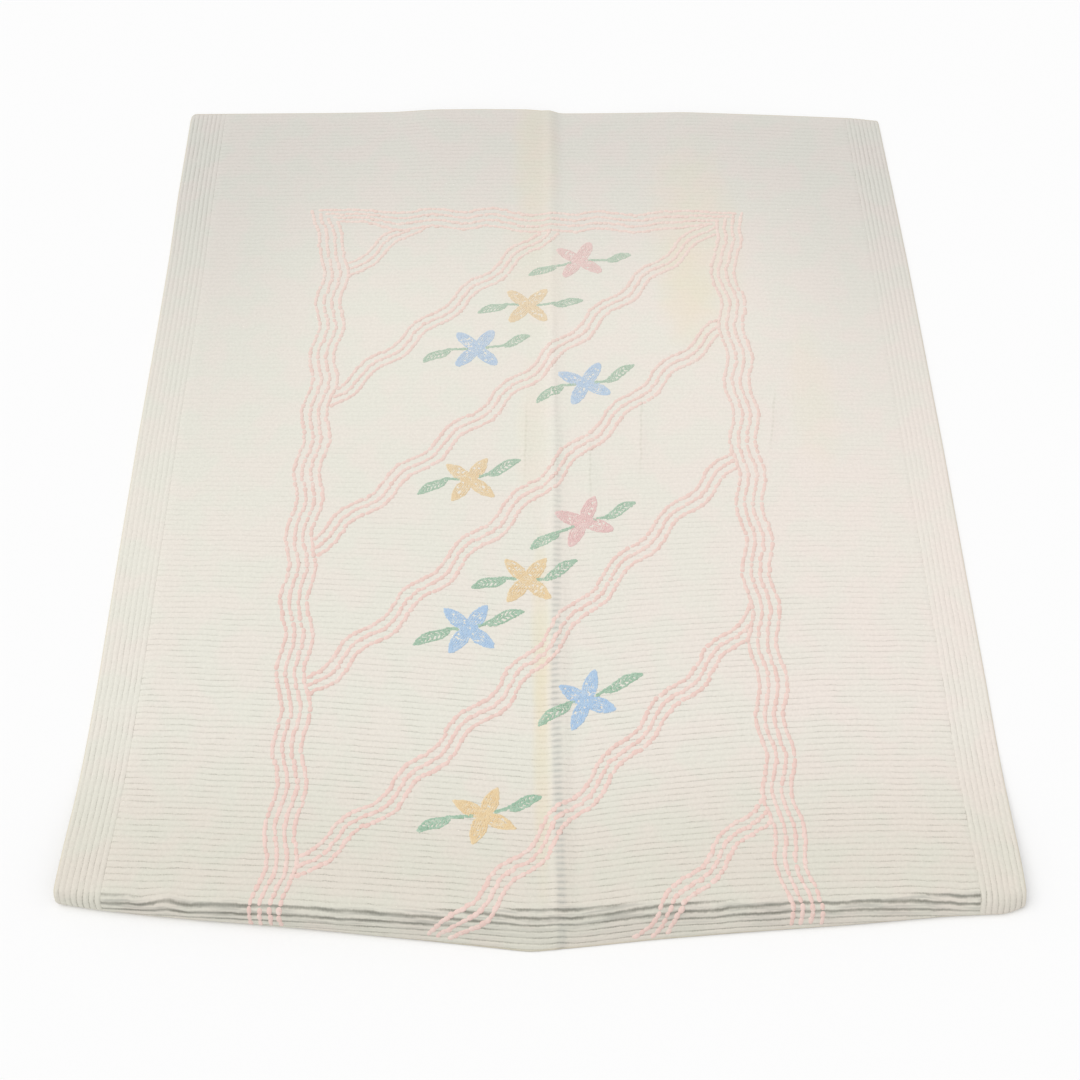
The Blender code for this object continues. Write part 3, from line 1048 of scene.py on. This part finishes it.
# Colour, place of the centre, how pointed its petals are, the way each points in degrees, and for
# the right and the left leaf where its blade starts and ends, in millimetres from the centre
FLOWERS = (
    ("pink", 0.119, 0.640, 0.45, (65, 148, 234, -37), (81, 0, 152, -22), (-73, 29, -150, 62)),
    ("yellow", -0.035, 0.820, 0.50, (47, 136, 231, -47), (70, -4, 161, -20), (-62, -4, -143, 29)),
    ("blue", -0.181, 0.983, 0.45, (55, 135, 227, -45), (77, -11, 150, -48), (-77, 2, -152, 46)),
    ("blue", 0.125, 1.104, 0.50, (59, 155, 243, -27), (57, -7, 139, -64), (-64, 7, -136, 64)),
    ("yellow", -0.193, 1.418, 0.80, (55, 144, 235, -36), (48, -18, 136, -64), (-62, -2, -136, 46)),
    ("pink", 0.110, 1.538, 0.60, (66, 162, 241, -20), (59, -9, 139, -48), (-68, 31, -139, 75)),
    ("yellow", -0.040, 1.700, 0.75, (48, 136, 232, -39), (48, -2, 130, -53), (-55, -2, -139, 31)),
    ("blue", -0.187, 1.843, 0.70, (55, 142, 235, -35), (44, -18, 139, -57), (-48, 4, -136, 53)),
    ("blue", 0.106, 2.026, 0.75, (74, 148, 243, -24), (44, -20, 141, -53), (-40, 0, -117, 57)),
    ("yellow", -0.140, 2.328, 0.95, (68, 156, 252, -21), (57, -26, 134, -59), (-81, 12, -152, 54)),
)
PETAL_ROWS = (-1.0, -0.67, -0.34, 0.0, 0.34, 0.67, 1.0)
CENTRE_RINGS = (0.0030, 0.0080, 0.0120)
RING_STEPS = (5, 10, 14)
WORN_SHARE = 0.07
LEAF_BEND = 0.28

RUN = np.linspace(0.0, 1.0, 60)
LEAF_SHAPE = np.sin(math.pi * (0.06 + 0.94 * RUN ** 1.05)) ** 0.75


def petal_shape(point):
    """Share of the petal's full width along it. point goes from blunt to a long point."""
    return np.sin(math.pi * (0.14 + 0.86 * RUN)) ** point


def blade_row(start, end, half_width, share, shape, bend=0.0):
    """A row of stitches along a petal or a leaf. share goes from -1, one edge, to 1, the other."""
    start, end = np.array(start), np.array(end)
    length = float(np.hypot(*(end - start)))
    forward = (end - start) / length
    side = np.array((-forward[1], forward[0]))
    off = half_width * (share * shape + bend * np.sin(2 * math.pi * RUN ** 0.8))
    return start + forward * (RUN * length)[:, None] + side * off[:, None]


petal_rows = {"pink": [], "yellow": [], "blue": []}
leaf_rows = []
for dye, across, down, point, ways, *leaves in FLOWERS:
    centre = np.array((across, down))
    for way in ways:
        angle = math.radians(way)
        pointing = np.array((math.cos(angle), -math.sin(angle)))
        foot = centre + pointing * 0.004
        tip = centre + pointing * PETAL_LENGTH * yarn_draws.uniform(0.96, 1.04)
        for share in PETAL_ROWS:
            path = blade_row(foot, tip, PETAL_HALF_WIDTH, share, petal_shape(point))
            stitches = spaced(path[4:], STITCH)
            # Here and there a stitch inside the petal is worn away, and the cream shows through
            worn = WORN_SHARE if abs(share) < 0.9 else 0.0
            petal_rows[dye].append(stitches[yarn_draws.uniform(size=len(stitches)) > worn])
    for ring, count in zip(CENTRE_RINGS, RING_STEPS):
        turn = np.linspace(0, 2 * math.pi, count + 1)[:, None]
        path = centre + ring * np.concatenate((np.cos(turn), np.sin(turn)), axis=1)
        petal_rows[dye].append(spaced(path, STITCH))
    for leaf in leaves:
        base = centre + np.array(leaf[:2]) / 1000
        tip = centre + np.array(leaf[2:]) / 1000
        towards = unit((base - centre)[None, :])[0]
        beside = np.array((-towards[1], towards[0]))
        for shift in (-0.0018, 0.0018):
            stem = np.linspace(centre + towards * 0.026, base + towards * 0.004, 12)
            leaf_rows.append(spaced(stem + beside * shift, STITCH))
        bend = LEAF_BEND if leaf[0] > 0 else -LEAF_BEND
        for share in (-1.0, 1.0, 0.0):
            path = blade_row(base, tip, LEAF_HALF_WIDTH, share, LEAF_SHAPE, bend)
            leaf_rows.append(spaced(path[1:], STITCH * (1.0 if share else 1.15)))
        # Short slanting rows between the edge and the midrib
        last = len(RUN) - 1
        for share in np.arange(0.12, 0.90, 0.115):
            for edge_side in (-1.0, 1.0):
                inner = blade_row(base, tip, LEAF_HALF_WIDTH, 0.15 * edge_side, LEAF_SHAPE, bend)
                rim = blade_row(base, tip, LEAF_HALF_WIDTH, 0.85 * edge_side, LEAF_SHAPE, bend)
                start = inner[int(share * last)]
                end = rim[min(last, int((share + 0.10) * last))]
                leaf_rows.append(spaced(np.linspace(start, end, 6), STITCH * 0.95))

DYES = {
    "pink": (colour(243, 212, 208), colour(228, 188, 186), colour(240, 220, 214)),
    "yellow": (colour(242, 222, 184), colour(234, 204, 158), colour(242, 228, 200)),
    "blue": (colour(196, 218, 238), colour(168, 198, 230), colour(214, 226, 236)),
    "green": (colour(188, 213, 192), colour(152, 188, 162), colour(208, 222, 205)),
}
for number, (dye, rows) in enumerate([*petal_rows.items(), ("green", leaf_rows)]):
    name = "green_leaves" if dye == "green" else dye + "_flowers"
    blooms = sow(name, rows, 0.0005)
    tree = tuft_tree(name + "_tufts", tuft_yarn(dye + "_yarn", *DYES[dye]), 7, 4)
    shape_with(blooms, tree, {
        "Length": 0.0080, "Width": 0.0070, "Height": 0.0044,
        "Unevenness": 0.16, "Roughness": 0.0005, "Seed": 10.0 + number})
    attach(blooms, "root")


# -------------------------------------------------------------------------------------------------
# Floor, light and viewpoint
#
# A plain pale matt floor, one broad soft lamp high on the left, even light from all round, and the
# viewpoint of the photograph, high over the near end.

FLOOR_REACH = 30.0
FLOOR_Z = -0.0006

floor_mesh = bpy.data.meshes.new("pale_floor")
floor_mesh.from_pydata([(x * FLOOR_REACH, y * FLOOR_REACH, FLOOR_Z) for x, y in (
    (-1, -1), (1, -1), (1, 1), (-1, 1))], [], [(0, 1, 2, 3)])
floor = new_object("pale_floor", floor_mesh)
paint = bpy.data.materials.new("pale_floor_paint")
paint.use_nodes = True
matt = paint.node_tree.nodes["Principled BSDF"].inputs
matt["Base Color"].default_value = (0.98, 0.98, 0.98, 1.0)
matt["Roughness"].default_value = 0.9
matt["Specular IOR Level"].default_value = 0.1
floor_mesh.materials.append(paint)

world = bpy.data.worlds.new("even_light")
world.use_nodes = True
all_round = world.node_tree.nodes["Background"].inputs
all_round["Color"].default_value = (1.0, 1.0, 1.0, 1.0)
all_round["Strength"].default_value = 0.66
bpy.context.scene.world = world

lamp = bpy.data.lights.new("soft_lamp", "SUN")
lamp.energy = 1.20
lamp.angle = math.radians(60)
lamp_object = new_object("soft_lamp", lamp)
lamp_object.rotation_mode = "QUATERNION"
lamp_object.rotation_quaternion = Vector((-0.48, 0.16, 1.0)).to_track_quat("Z", "Y")

EYE = (-0.07428, -2.32237, 3.14600)
RIGHT = (0.99981184, -0.00612300, 0.01840621)
UP = (-0.00467044, 0.84497601, 0.53478382)
BACK = (-0.01882729, -0.53476916, 0.84478842)
lens = bpy.data.cameras.new("viewpoint")
lens.sensor_width = 36.0
lens.lens = 47.43
viewpoint = new_object("viewpoint", lens)
viewpoint.matrix_world = Matrix((*zip(RIGHT, UP, BACK, EYE), (0.0, 0.0, 0.0, 1.0)))
bpy.context.scene.camera = viewpoint
bpy.context.scene.view_settings.view_transform = "Standard"
